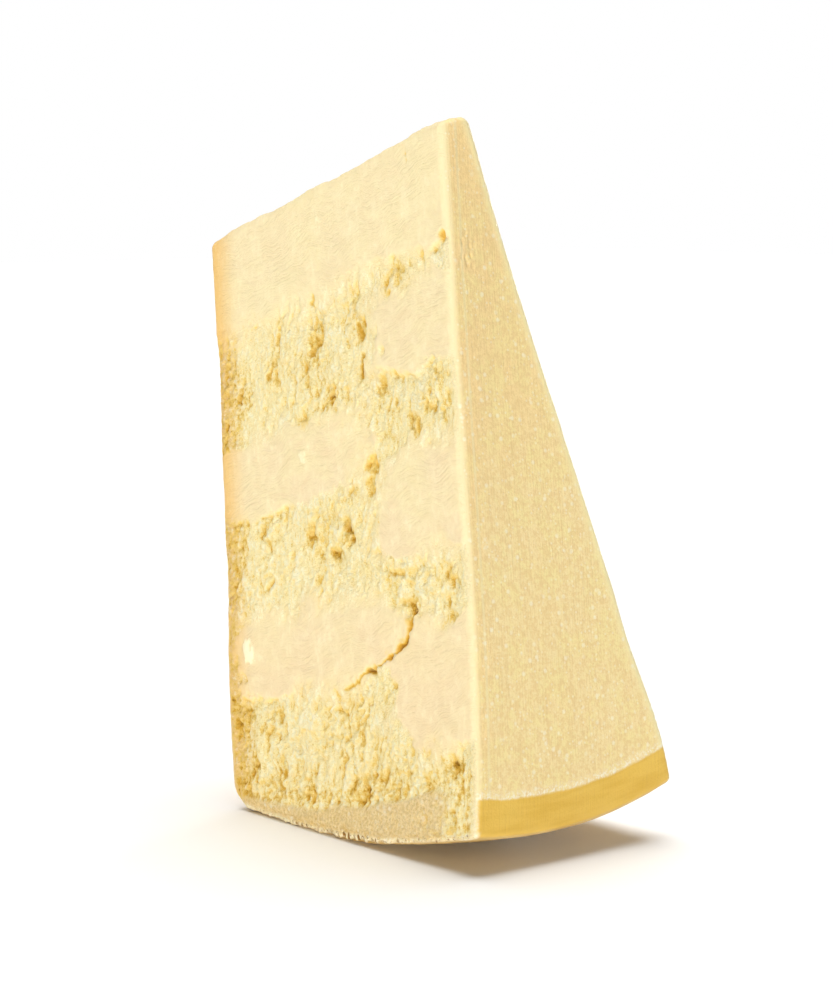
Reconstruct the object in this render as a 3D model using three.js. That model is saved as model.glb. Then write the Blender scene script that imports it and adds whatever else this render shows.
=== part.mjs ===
// A wedge of aged hard cheese, cut and broken out of a wheel, standing on the rind of its rim.
// It is one solid: two broken faces with smooth knife marks between crags, one plain cut face,
// rind on the rim and on the wheel's flat side, and a broken tip.
// Millimetres, +Z up. The origin is on the floor, under the middle of the wedge.
import * as THREE from "three";

const { clamp, degToRad, lerp, smoothstep } = THREE.MathUtils;

// Places on the wedge are given as in the wheel: depth is measured along the wheel's axis from
// the cut face, radius from that axis, and across round it from the near broken face.
const WHEEL_RADIUS = 210;
const WEDGE_ANGLE = degToRad(18.8);
const DEPTH = 101.5;
const TIP_RADIUS_CUT_SIDE = 28;
const TIP_RADIUS_RIND_SIDE = 43;

// The wheel's barrel shape, the swelling of the rim and of the lower cut face, and the flare of
// the far broken face where it reaches the firm rind.
const RIM_FULLEST_DEPTH = 26;
const RIM_CURVE_RADIUS = 256;
const RIM_BELLY = 1.1;
const CUT_FACE_BELLY = 2.5;
const CUT_FACE_BELLY_REACH = 40;
// The swelling goes as s ** 3 * (1 - s) from the tip to the rim, and this brings its top to 1.
const SWELLING_SCALE = 256 / 27;
const FLARE = 2.8;
const FLARE_START_RADIUS = 166;
const FLARE_FULL_RADIUS = 198;

// How it stands: it leans towards its rind side, and a little sideways, on a small flat foot.
const LEAN_BACK = degToRad(-10.5);
const NEAR_FACE_ANGLE = degToRad(-5.5);
const WHEEL_CENTRE = new THREE.Vector3(-15.4, -26.6, 214.5);

// Rounding of the edges: the cut face's, the broken faces' and the tip's are sharp, and the rind's
// edges are worn rounder towards the rim's back corner.
const ROUND_CUT = 2.2;
const ROUND_BROKEN = 2;
const ROUND_TIP = 2;
const ROUND_RIND_AT_TIP = 2.5;
const ROUND_RIND_AT_RIM = 6;
const ROUND_RIM_AT_CUT = 1.6;
const ROUND_RIM_AT_RIND = 6;

// Facets along the axis, across the wedge and along the radius, with the rows in each rounding.
const ROWS_DEPTH = 32;
const ROWS_ACROSS = 15;
const ROWS_RADIUS = 52;
const ROWS_IN_ROUNDING = 2;

// The knife marks of a broken face: smooth tongues, each with its middle and half sizes (depth
// and radius), its slope in degrees, and how far it stands out.
const NEAR_MARKS = [
  { depth: 47, radius: 38, halfDepth: 85, halfRadius: 27.5, slope: 8, level: 0.3 },
  { depth: 10, radius: 77.5, halfDepth: 25, halfRadius: 12.5, slope: 2, level: 0.1 },
  { depth: 69, radius: 109.5, halfDepth: 35, halfRadius: 11.5, slope: 5, level: -0.2 },
  { depth: 9, radius: 122, halfDepth: 24, halfRadius: 15, slope: 1, level: 0.2 },
  { depth: 63, radius: 158, halfDepth: 39, halfRadius: 12, slope: 3, level: 0.2 },
  { depth: 8, radius: 170, halfDepth: 23, halfRadius: 17, slope: 3, level: 0 },
];
const FAR_MARKS = [
  { depth: 62, radius: 40, halfDepth: 80, halfRadius: 26, slope: 12, level: 0.2 },
  { depth: 16, radius: 92, halfDepth: 31, halfRadius: 15, slope: -9, level: 0.1 },
  { depth: 91, radius: 112, halfDepth: 28, halfRadius: 19, slope: 6, level: 0.3 },
  { depth: 40, radius: 138, halfDepth: 22, halfRadius: 10, slope: 14, level: -0.2 },
  { depth: 4, radius: 166, halfDepth: 22, halfRadius: 16, slope: -4, level: 0.2 },
  { depth: 74, radius: 172, halfDepth: 34, halfRadius: 14, slope: -6, level: 0 },
];
const MARK_SQUARENESS = 3;
const MARK_EDGE = 1.6;
const MARK_EDGE_WANDER = { height: 2.2, across: 9, along: 9 };

// Crags: torn paste lies lower than the knife marks, in lumps drawn out along the radius. They
// die out at the cut face's edge and in the firm zone over the rim's rind.
const CRAG_LEVEL = -1.4;
const CRAG_LEAN = degToRad(14);
const CRAG_WAVES = [
  { height: 1.1, across: 19, along: 26 },
  { height: 1.1, across: 8, along: 13 },
];
const CRAG_START_DEPTH = 6;
const FIRM_ZONE = 5;
const FIRM_ZONE_END = 14;

// Holes torn deeper than the crags round them.
const NEAR_PITS = [
  { depth: 2, radius: 57, size: 3.2, deep: 2.6 },
  { depth: 37, radius: 77, size: 4, deep: 2.2 },
  { depth: 50, radius: 92, size: 5, deep: 1.5 },
  { depth: 35, radius: 115, size: 4, deep: 2.8 },
  { depth: 45, radius: 129, size: 4.5, deep: 2.4 },
  { depth: 22, radius: 153, size: 4, deep: 2.4 },
  { depth: 90, radius: 188, size: 4.5, deep: 2.4 },
  { depth: 8, radius: 190, size: 3.5, deep: 1.8 },
];
const FAR_PITS = [
  { depth: 38, radius: 68, size: 4, deep: 2.2 },
  { depth: 57, radius: 101, size: 4.5, deep: 2.4 },
  { depth: 84, radius: 146, size: 4, deep: 2.2 },
  { depth: 32, radius: 184, size: 4.5, deep: 2 },
];

// The gentle unevenness of the other sides.
const CUT_FACE_WAVE = { height: 0.25, across: 22, along: 30 };
const FLAT_RIND_WAVE = { height: 0.6, across: 26, along: 34 };
const RIM_WAVE = { height: 0.4, across: 24, along: 24 };
const TIP_WAVE = { height: 0.9, across: 9, along: 7 };

// Every wave starts from a seed of its own.
const SEED = { nearFace: 1, farFace: 2, edges: 10, cutFace: 31, flatRind: 41, rim: 51, tip: 61 };

// A random number from 0 to 1 for a whole-numbered place.
function hash(i, j, seed) {
  let h = Math.imul(i, 374761393) + Math.imul(j, 668265263) + Math.imul(seed, 974634777);
  h = Math.imul(h ^ (h >>> 13), 1274126177);
  return ((h ^ (h >>> 16)) >>> 0) / 4294967296;
}

// A smooth random wave, up to its height either way.
function wave({ height, across, along }, x, y, seed) {
  const i = Math.floor(x / across);
  const j = Math.floor(y / along);
  const u = fade(x / across - i);
  const v = fade(y / along - j);
  const low = lerp(hash(i, j, seed), hash(i + 1, j, seed), u);
  const high = lerp(hash(i, j + 1, seed), hash(i + 1, j + 1, seed), u);
  return height * (2 * lerp(low, high, v) - 1);
}

function fade(t) {
  return t * t * t * (t * (6 * t - 15) + 10);
}

// Height of the lumps where the paste was torn.
function crags(depth, radius, toRim, seed) {
  const along = radius * Math.cos(CRAG_LEAN) + depth * Math.sin(CRAG_LEAN);
  const across = depth * Math.cos(CRAG_LEAN) - radius * Math.sin(CRAG_LEAN);
  let height = CRAG_LEVEL;
  CRAG_WAVES.forEach((lumps, n) => {
    height += wave(lumps, across, along, seed + n);
  });
  const fromCutFace = smoothstep(depth, 0, CRAG_START_DEPTH);
  return height * fromCutFace * smoothstep(toRim, FIRM_ZONE, FIRM_ZONE_END);
}

// How far a place lies inside a knife mark's outline, in millimetres.
function insideMark(mark, depth, radius) {
  const slope = degToRad(mark.slope);
  const x = depth - mark.depth;
  const y = radius - mark.radius;
  const along = Math.abs(x * Math.cos(slope) + y * Math.sin(slope)) / mark.halfDepth;
  const across = Math.abs(y * Math.cos(slope) - x * Math.sin(slope)) / mark.halfRadius;
  const reach = (along ** MARK_SQUARENESS + across ** MARK_SQUARENESS) ** (1 / MARK_SQUARENESS);
  return (1 - reach) * mark.halfRadius;
}

// Height of a broken face: level knife marks where there are any, crags elsewhere, less the pits.
function brokenFace(marks, pits, seed, depth, radius, toRim) {
  const wander = wave(MARK_EDGE_WANDER, depth, radius, seed + SEED.edges);
  let cover = 0;
  let levels = 0;
  let shares = 0;
  for (const mark of marks) {
    const share = smoothstep(insideMark(mark, depth, radius) + wander, -MARK_EDGE, MARK_EDGE);
    cover = Math.max(cover, share);
    levels += share * mark.level;
    shares += share;
  }
  const level = shares > 0 ? levels / shares : 0;
  let height = lerp(crags(depth, radius, toRim, seed), level, cover);
  for (const pit of pits) {
    const away = Math.hypot(depth - pit.depth, radius - pit.radius) / pit.size;
    height -= pit.deep * Math.exp(-away * away);
  }
  return height;
}

// The rows along one axis: how far each has come along the straight stretch, from 0 to 1, and how
// far it has turned into the rounding at either end, from -1 to 1.
function rowsOf(count) {
  const turn = (n) => Math.tan((Math.PI / 4) * (1 - n / ROWS_IN_ROUNDING));
  const rows = [];
  for (let n = 0; n <= count; n++) {
    const straight = clamp((n - ROWS_IN_ROUNDING) / (count - 2 * ROWS_IN_ROUNDING), 0, 1);
    let turned = 0;
    if (n < ROWS_IN_ROUNDING) turned = -turn(n);
    if (n > count - ROWS_IN_ROUNDING) turned = turn(count - n);
    rows.push({ straight, turned });
  }
  return rows;
}

// A coordinate on a rounded side: the straight stretch between the roundings, then the rounding.
function rounded(straight, facing, length, roundLow, roundHigh) {
  const inner = roundLow + straight * (length - roundLow - roundHigh);
  return inner + facing * (facing < 0 ? roundLow : roundHigh);
}

// One point of the skin, in the wheel's frame: its axis is Y and its centre is the origin.
function skinPoint(rowDepth, rowAcross, rowRadius) {
  const facing = new THREE.Vector3(rowDepth.turned, rowAcross.turned, rowRadius.turned);
  facing.normalize();

  const roundRind = lerp(ROUND_RIND_AT_TIP, ROUND_RIND_AT_RIM, rowRadius.straight);
  const depth = rounded(rowDepth.straight, facing.x, DEPTH, ROUND_CUT, roundRind);
  const back = depth / DEPTH;
  const tipRadius = lerp(TIP_RADIUS_CUT_SIDE, TIP_RADIUS_RIND_SIDE, back);
  const barrel = (depth - RIM_FULLEST_DEPTH) ** 2 / (2 * RIM_CURVE_RADIUS);
  const belly = RIM_BELLY * (1 - (2 * rowAcross.straight - 1) ** 2);
  const rimRadius = WHEEL_RADIUS - barrel + belly;
  const roundRim = lerp(ROUND_RIM_AT_CUT, ROUND_RIM_AT_RIND, back);
  const length = rimRadius - tipRadius;
  const out = rounded(rowRadius.straight, facing.z, length, ROUND_TIP, roundRim);
  const radius = tipRadius + out;
  const width = radius * WEDGE_ANGLE;
  const across = rounded(rowAcross.straight, facing.y, width, ROUND_BROKEN, ROUND_BROKEN);
  const angle = NEAR_FACE_ANGLE + across / radius;

  const [endWave, endSeed] =
    facing.x < 0 ? [CUT_FACE_WAVE, SEED.cutFace] : [FLAT_RIND_WAVE, SEED.flatRind];
  const [marks, pits, faceSeed] =
    facing.y < 0 ? [NEAR_MARKS, NEAR_PITS, SEED.nearFace] : [FAR_MARKS, FAR_PITS, SEED.farFace];
  const [arcWave, arcSeed] = facing.z < 0 ? [TIP_WAVE, SEED.tip] : [RIM_WAVE, SEED.rim];
  const height =
    facing.x ** 2 * wave(endWave, across, radius, endSeed) +
    facing.y ** 2 * brokenFace(marks, pits, faceSeed, depth, radius, rimRadius - radius) +
    facing.z ** 2 * wave(arcWave, depth, across, arcSeed);

  // The cut face's swelling is fullest three quarters of the way from the tip to the rim.
  const share = clamp(out / length, 0, 1);
  const swelling = SWELLING_SCALE * share ** 3 * (1 - share);
  const fading = Math.max(0, 1 - depth / CUT_FACE_BELLY_REACH);
  const axial = depth - CUT_FACE_BELLY * swelling * fading + height * facing.x;
  const flare = FLARE * smoothstep(radius, FLARE_START_RADIUS, FLARE_FULL_RADIUS);
  const sidewaysShift = height * facing.y + flare * (across / width);

  const outwards = new THREE.Vector3(Math.sin(angle), 0, -Math.cos(angle));
  const sideways = new THREE.Vector3(Math.cos(angle), 0, Math.sin(angle));
  return new THREE.Vector3(0, axial, 0)
    .addScaledVector(outwards, radius + height * facing.z)
    .addScaledVector(sideways, sidewaysShift);
}

// The foot: whatever would reach through the floor ends on it.
function standOnFloor(point) {
  const up = new THREE.Vector3(0, Math.sin(LEAN_BACK), Math.cos(LEAN_BACK));
  const above = point.dot(up) + WHEEL_CENTRE.z;
  return above < 0 ? point.addScaledVector(up, -above) : point;
}

// The skin is the surface of a block of rows, so that its six sides meet in shared corners.
function wedgeGeometry() {
  const counts = [ROWS_DEPTH, ROWS_ACROSS, ROWS_RADIUS];
  const rows = counts.map(rowsOf);
  const positions = [];
  const numbers = new Map();
  const numberOf = (cell) => {
    const key = cell.join();
    if (!numbers.has(key)) {
      numbers.set(key, numbers.size);
      const point = skinPoint(...cell.map((n, axis) => rows[axis][n]));
      positions.push(...standOnFloor(point).toArray());
    }
    return numbers.get(key);
  };
  const triangles = [];
  for (let axis = 0; axis < 3; axis++) {
    const u = (axis + 1) % 3;
    const v = (axis + 2) % 3;
    for (const end of [0, counts[axis]]) {
      for (let i = 0; i < counts[u]; i++) {
        for (let j = 0; j < counts[v]; j++) {
          const corner = (di, dj) => {
            const cell = [0, 0, 0];
            cell[axis] = end;
            cell[u] = i + di;
            cell[v] = j + dj;
            return numberOf(cell);
          };
          const quad = [corner(0, 0), corner(1, 0), corner(1, 1), corner(0, 1)];
          if (end === 0) quad.reverse();
          triangles.push(quad[0], quad[1], quad[2], quad[0], quad[2], quad[3]);
        }
      }
    }
  }
  const geometry = new THREE.BufferGeometry();
  geometry.setAttribute("position", new THREE.Float32BufferAttribute(positions, 3));
  geometry.setIndex(triangles);
  geometry.computeVertexNormals();
  return geometry;
}

const paste = new THREE.MeshStandardMaterial({ color: 0xf6e0b0, roughness: 0.6, metalness: 0 });
const wedge = new THREE.Mesh(wedgeGeometry(), paste);
wedge.name = "cheese_wedge";
wedge.rotation.x = LEAN_BACK;
wedge.position.copy(WHEEL_CENTRE);

const cheese = new THREE.Group();
cheese.add(wedge);
export default cheese;
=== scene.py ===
# The looks of a wedge of aged hard cheese, standing on the rind of its rim.
import math

import bpy
import numpy as np
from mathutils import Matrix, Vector


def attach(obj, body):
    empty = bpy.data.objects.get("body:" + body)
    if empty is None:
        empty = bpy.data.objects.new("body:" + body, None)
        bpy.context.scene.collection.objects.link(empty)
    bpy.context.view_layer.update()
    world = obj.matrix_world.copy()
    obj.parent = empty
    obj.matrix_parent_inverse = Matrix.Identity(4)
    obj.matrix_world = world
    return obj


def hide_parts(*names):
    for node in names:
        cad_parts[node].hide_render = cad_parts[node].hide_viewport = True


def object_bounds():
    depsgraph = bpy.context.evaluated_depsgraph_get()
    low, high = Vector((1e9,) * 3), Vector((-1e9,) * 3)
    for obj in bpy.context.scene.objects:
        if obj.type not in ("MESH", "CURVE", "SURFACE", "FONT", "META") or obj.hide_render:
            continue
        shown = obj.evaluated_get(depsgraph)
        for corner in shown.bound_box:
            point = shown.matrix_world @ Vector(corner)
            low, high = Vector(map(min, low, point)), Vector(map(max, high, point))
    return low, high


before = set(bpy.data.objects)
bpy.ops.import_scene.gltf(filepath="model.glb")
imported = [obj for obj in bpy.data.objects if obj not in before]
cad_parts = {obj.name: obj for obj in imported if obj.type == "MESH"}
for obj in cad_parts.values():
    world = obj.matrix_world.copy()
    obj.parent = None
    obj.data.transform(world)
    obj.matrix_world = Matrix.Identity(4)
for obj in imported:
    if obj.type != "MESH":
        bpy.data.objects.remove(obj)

cad_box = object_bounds()

MM = 0.001

# The wedge's form, in millimetres, as in the solid that this piece replaces. Depth is measured
# along the wheel's axis from the cut face, radius from that axis, and across round it from the
# near broken face.
WHEEL_RADIUS = 210.0
WEDGE_ANGLE = math.radians(18.8)
DEPTH = 101.5
TIP_RADIUS_CUT_SIDE = 28.0
TIP_RADIUS_RIND_SIDE = 43.0
RIM_FULLEST_DEPTH = 26.0
RIM_CURVE_RADIUS = 256.0
RIM_BELLY = 1.1
CUT_FACE_BELLY = 2.5
CUT_FACE_BELLY_REACH = 40.0
FLARE = 2.8
FLARE_START_RADIUS = 166.0
FLARE_FULL_RADIUS = 198.0
LEAN_BACK = math.radians(-10.5)
NEAR_FACE_ANGLE = math.radians(-5.5)
WHEEL_CENTRE = np.array([-15.4, -26.6, 214.5])
ROUND_CUT = 2.2
ROUND_BROKEN = 2.0
ROUND_TIP = 2.0
ROUND_RIND_AT_TIP = 2.5
ROUND_RIND_AT_RIM = 6.0
ROUND_RIM_AT_CUT = 1.6
ROUND_RIM_AT_RIND = 6.0

# The turn from the wheel's axes to the row's.
LEAN = np.array([
    [1, 0, 0],
    [0, math.cos(LEAN_BACK), -math.sin(LEAN_BACK)],
    [0, math.sin(LEAN_BACK), math.cos(LEAN_BACK)],
])

# Knife marks of the broken faces: depth, radius, half depth, half radius, slope, level.
NEAR_MARKS = [
    (47, 38, 85, 27.5, 8, 0.3),
    (10, 77.5, 25, 12.5, 2, 0.1),
    (69, 109.5, 35, 11.5, 5, -0.2),
    (9, 122, 24, 15, 1, 0.2),
    (63, 158, 39, 12, 3, 0.2),
    (8, 170, 23, 17, 3, 0.0),
]
FAR_MARKS = [
    (62, 40, 80, 26, 12, 0.2),
    (16, 92, 31, 15, -9, 0.1),
    (91, 112, 28, 19, 6, 0.3),
    (40, 138, 22, 10, 14, -0.2),
    (4, 166, 22, 16, -4, 0.2),
    (74, 172, 34, 14, -6, 0.0),
]

# Holes torn deeper than the crags round them: depth, radius, size, deep.
NEAR_PITS = [
    (2, 57, 1.4, 1.7),
    (6, 60.5, 1.1, 0.9),
    (11, 62, 1.4, 0.9),
    (15.5, 63.5, 1.0, 0.7),
    (21, 65, 1.6, 1.1),
    (26, 67, 1.3, 0.8),
    (15, 35, 0.9, 1.1),
    (55, 66, 1.2, 1.1),
    (37, 76, 2.4, 1.6),
    (50, 92, 2.6, 1.0),
    (62, 98, 1.8, 0.9),
    (17, 104, 2.0, 1.1),
    (12, 99, 1.6, 1.0),
    (35, 113, 2.2, 2.2),
    (36, 118, 1.6, 1.6),
    (45, 129, 2.6, 1.6),
    (52, 134, 1.8, 1.0),
    (62, 128, 2.0, 0.9),
    (8, 143, 1.8, 0.9),
    (23, 151, 2.0, 1.8),
    (25, 158, 1.5, 0.8),
    (30.5, 161.5, 1.1, 0.6),
    (37, 165.5, 1.3, 0.7),
    (44, 169, 1.4, 0.6),
    (52, 171.5, 1.5, 0.5),
    (59, 173, 1.3, 0.4),
    (90, 190, 2.4, 1.4),
    (94, 192, 1.7, 1.2),
    (94, 179, 1.6, 1.0),
    (79, 192, 1.8, 0.9),
    (8, 190, 2.0, 1.2),
]
FAR_PITS = [
    (38, 68, 2.6, 1.9),
    (46, 73, 1.6, 1.0),
    (12, 60, 1.5, 1.1),
    (74, 84, 1.8, 1.0),
    (57, 101, 2.8, 2.1),
    (61, 108, 1.8, 1.2),
    (15, 122, 1.8, 1.2),
    (70, 136, 1.6, 1.0),
    (84, 146, 2.6, 1.9),
    (32, 184, 2.8, 1.8),
    (26, 178, 1.5, 0.9),
    (88, 196, 2.0, 1.2),
]

# Cracks: the points that a crack runs through (depth, radius), its half width and how deep it is.
NEAR_CRACKS = [
    ([(21, 148), (22.5, 155), (24, 158)], 0.48, 1.6),
    ([(24, 158), (28, 161), (33, 163.5), (39, 165.5)], 0.36, 1.7),
    ([(39, 165.5), (45, 168.5), (49, 169.5)], 0.3, 0.5),
    ([(37.5, 83), (37.8, 89)], 0.45, 2.0),
]
FAR_CRACKS = [
    ([(57, 101), (60, 111), (58.5, 120), (61, 127)], 0.45, 1.4),
    ([(32, 184), (26, 178), (24, 171)], 0.4, 1.2),
]

# Loose pale flakes: depth, radius, half depth, half radius, height.
NEAR_FLAKES = [
    (90, 157.5, 2.3, 4.2, 0.55),
    (52, 45, 1.3, 0.9, 0.25),
    (63, 107, 1.2, 1.8, 0.3),
    (76, 103, 1.4, 1.0, 0.25),
]
FAR_FLAKES = [(70, 62, 1.6, 2.6, 0.4), (30, 120, 1.2, 1.6, 0.3)]

# The first seed of each side's random layers. The fine layers of a broken face have a run of
# seeds of their own. Layers that do different things may share one.
SEED = {
    "near": 1, "far": 2, "edges": 10, "cut_face": 31, "flat_rind": 41, "rim": 51, "tip": 61,
    "fine": 70,
}
FINE_SEEDS_A_FACE = 30
FINE_SEED = {
    "mark_crumble": 0, "gentle_edges": 2, "mark_surface": 3, "firm_grains": 4,
    "warp_across": 5, "warp_along": 7, "chips": 9, "streaks": 11, "crag_grains": 13, "rough": 15,
    "clusters": 16, "small_clusters": 17, "pit_depth": 18, "pit_radius": 20, "gouges": 22,
    "crack_width": 23, "firm_end": 24, "firm_start": 25, "crumbly_by_flat": 27,
    "crumbly_grains": 28, "crumbly_by_firm": 29, "crumbs_end": 11, "crumbs_grains": 12,
    "notches": 13, "notch_wander": 16,
}
NEAR_FACE = (NEAR_MARKS, NEAR_PITS, NEAR_CRACKS, NEAR_FLAKES, SEED["near"])
FAR_FACE = (FAR_MARKS, FAR_PITS, FAR_CRACKS, FAR_FLAKES, SEED["far"])

# Two values for where something starts or ends, in millimetres, are where that change sets in and
# where it is complete. Layers of waves give their height and their width in each direction.
# Patches give their width in each direction, and the heights of a wave from 0 in them to 1.

# Knife marks. In the gentle patches their edges are wider by so many times.
MARK_SQUARENESS = 3.0
MARK_EDGE = 0.9
MARK_BLEND = 1.6
GENTLE_EDGE = 7
GENTLE_PATCHES = (13, 13, -0.4, 0.35)
MARK_WANDER = (2.2, 9, 9)
MARK_CRUMBLE = [(1.1, 2.8, 2.8), (0.7, 1.2, 1.2)]
MARK_SURFACE = [(0.16, 16, 11), (0.05, 5, 2.5)]

# Crags, as in the solid, and the chips (size in each direction, step, tilt), streaks, grains and
# gouges that they break into. Outside the rough patches a share of these is left.
CRAG_LEVEL = -0.65
CRAG_LEAN = math.radians(14)
CRAG_WAVES = [(0.6, 19, 26), (0.5, 8, 13)]
CRAG_START_DEPTH = 5.0
CRAG_END_AT_RIM = (0.5, 3)
CRAG_WARP = [(1.6, 6, 6), (0.6, 1.7, 1.7)]
CRAG_CHIPS = [(3.4, 6.6, 0.3, 0.5), (1.5, 3.0, 0.2, 0.4)]
CRAG_STREAKS = [(0.34, 1.8, 5.4), (0.28, 1.0, 2.9)]
CRAG_GRAINS = [(0.2, 0.8, 1.1), (0.12, 0.5, 0.5)]
ROUGH_PATCHES = (11, 16, -0.35, 0.35)
CALM_SHARE = 0.35
GOUGE_WAVES = [(0.75, 1.0, 2.6), (0.35, 0.6, 1.1)]
GOUGE_LEVEL = 0.2
GOUGE_DEEP = 1.1
GOUGE_CLUSTERS = (6, 12, -0.05, 0.55)
SMALL_CLUSTERS = (3, 6, 0.25, 0.7)
SMALL_CLUSTER_SHARE = 0.7

# Pits: how much longer than wide they are, how deep one of depth 1 is, its edge in shares of its
# size, and how deep and hollow it is between the gouges in it and within one.
PIT_STRETCH = 1.4
PIT_DEEP = 0.7
PIT_EDGE = (0.2, 1.5)
PIT_WARP = [(1.3, 2.3, 2.3), (0.6, 0.9, 0.9)]
PIT_GOUGED_DEEP = (0.5, 1.6)
PIT_GOUGED_HOLLOW = (0.55, 1.05)
PIT_HOLLOW_MOST = 1.2

# Cracks and flakes. A crack's width differs from spot to spot, and its hollow is a little wider.
CRACK_PATCHES = (1.7, 1.7, -0.5, 0.5)
CRACK_WIDTHS = (0.55, 1.45)
CRACK_HOLLOW_WIDER = 1.2
FLAKE_EDGE = (0.5, 1.1)

# How hollow each form counts. The colours go by it: hollows get painted shade, and what stands out
# counts as less than 0 and gets a painted highlight.
HOLLOW = {"relief": -0.5, "gouge": 1.3, "crack": 1.65, "flake": -0.6, "nick": 1.0, "by_nick": -0.25}

# The firm zone of a broken face along the rim, thickest towards the cut, and the crumbly zones
# above it and towards the wheel's flat side.
FIRM_ZONE_AT_CUT = 15.0
FIRM_ZONE_AT_FLAT = 3.0
FIRM_END = [(0.8, 9, 9)]
FIRM_END_FADE = (-1.2, 0.4)
FIRM_START = [(6, 5, 5), (5, 1.4, 1.4)]
FIRM_START_FADE = (9, 22)
FIRM_CALM = 0.9
CRUMBLY_BY_FLAT = [(4, 7, 7)]
CRUMBLY_BY_FLAT_FADE = (84, 98)
CRUMBLY_BY_FIRM = [(2.5, 5, 5)]
CRUMBLY_BY_FIRM_FADE = (4, 11)
CRUMBLY_BY_FIRM_SHARE = 0.8

# Rounded grains: their size in both directions, how far their levels differ, how deep the gaps
# between them and all of them lie, how hollow the gaps, the single grains and all of them are,
# and which of its random numbers says how hollow a grain is.
GRAINS = {
    "firm_grains": ((1.0, 1.0), 0.16, 0.3, 0.25, 0.4, 0.5, 0.0, 0),
    "crumbly_grains": ((1.2, 1.4), 0.4, 0.5, 0.0, 1.8, 1.0, 0.0, 1),
    "crumbs_grains": ((1.2, 1.0), 0.8, 0.9, 0.08, 1.8, 0.9, -0.4, 1),
}

# Crumbs and small notches along the edge of a broken face to the rim. Widths, starts, ends and
# strengths of the notches are the least and the most of each.
CRUMBS_END = [(1.2, 4, 4)]
CRUMBS_FADE = (1.6, 3.6)
CRUMBS_FROM_CUT = (6, 14)
NOTCH_PITCH = 2.2
NOTCH_SHIFT = 0.5
NOTCH_HALF_WIDTH = 0.5
NOTCH_WIDTHS = (0.6, 1.6)
NOTCH_START = (0.4, 1.3)
NOTCH_END = (1.4, 3.1)
NOTCH_STRENGTHS = (0.35, 1.2)
NOTCH_WANDER = [(0.4, 1.0, 1.0)]
NOTCH_DEEP = 1.9
NOTCHES_FROM = (6, 9)
NOTCHES_TO = (80, 86)

# The cut face, with a nick (across, radius, half width, half length) of scattered holes (the size
# of their cells, the half size of one and the share of cells that have one).
CUT_FACE_WAVES = [(0.25, 22, 30), (0.03, 0.7, 16), (0.05, 4, 6)]
CUT_NICK = (6.0, 62.0, 3.2, 5.5)
NICK_HOLES = (1.6, 2.2, 0.5, 0.7, 0.8)
NICK_DEEP = 0.8
NICK_REACH = 2.0

# The wheel's flat side and the broken tip.
FLAT_RIND_WAVES = [(0.6, 26, 34), (0.12, 5, 6), (0.06, 1.3, 1.3)]
TIP_WAVES = [(0.9, 9, 7), (0.25, 2.2, 2.2), (0.1, 0.8, 0.8)]

# The rim, its crumbs along the broken faces and its plain rows of dimples.
RIM_WAVES = [(0.4, 24, 24), (0.1, 4, 4)]
RIM_CRUMBS_END = [(1, 4, 4)]
RIM_CRUMBS_FADE = (1.0, 3.2)
RIM_CRUMBS_FROM_CUT = (5, 12)
RIM_CRUMB_SIZE = (1.2, 1.1)
RIM_CRUMB_GAP = 1.1
RIM_CRUMB_STEP = 1.0
DIMPLE_PITCH = 3.2
DIMPLE_ROW_PITCH = 2 * DIMPLE_PITCH
DIMPLE_ROW_START = -2.9
DIMPLE_HALF_SIZE = (0.7, 0.8)
DIMPLE_DEEP = 0.55
DIMPLES_FROM = (8, 11)
DIMPLES_TO = (84, 88)

# Rows of the skin along the axis, across the wedge and along the radius, those in each rounding,
# and how many triangles are kept.
ROWS = (210, 76, 360)
ROWS_IN_ROUNDING = 5
TRIANGLES_KEPT = 196000


# Random waves

def hashed(i, j, seed):
    """A random number from 0 to 1 for whole-numbered places."""
    i = i.astype(np.int64).astype(np.uint32)
    j = j.astype(np.int64).astype(np.uint32)
    start = np.uint32(seed * 974634777 & 0xFFFFFFFF)
    h = i * np.uint32(374761393) + j * np.uint32(668265263) + start
    h = (h ^ (h >> np.uint32(13))) * np.uint32(1274126177)
    return (h ^ (h >> np.uint32(16))) / 4294967296.0


def fade(t):
    return t * t * t * (t * (6 * t - 15) + 10)


def wave(height, wide, long, x, y, seed):
    """A smooth random wave, up to its height either way."""
    x, y = x / wide, y / long
    i, j = np.floor(x), np.floor(y)
    u, v = fade(x - i), fade(y - j)
    low = hashed(i, j, seed) * (1 - u) + hashed(i + 1, j, seed) * u
    high = hashed(i, j + 1, seed) * (1 - u) + hashed(i + 1, j + 1, seed) * u
    return height * (2 * (low * (1 - v) + high * v) - 1)


def waves(layers, x, y, seed, start=0.0):
    """Layers of random waves, each with the next seed, on top of what is there at the start."""
    for n, layer in enumerate(layers):
        start = start + wave(*layer, x, y, seed + n)
    return start


def smoothstep(x, low, high):
    t = np.clip((x - low) / (high - low), 0, 1)
    return t * t * (3 - 2 * t)


def between(x, setting_in, dying_out):
    return smoothstep(x, *setting_in) * (1 - smoothstep(x, *dying_out))


def lerp(a, b, t):
    return a + (b - a) * t


def patchy(patches, x, y, seed):
    """Random patches with soft edges: 1 in them and 0 between them."""
    wide, long, low, high = patches
    return smoothstep(wave(1, wide, long, x, y, seed), low, high)


def from_middle(x, pitch):
    """How far places are from the middle of their repeat of a pattern."""
    return (x / pitch % 1 - 0.5) * pitch


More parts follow.
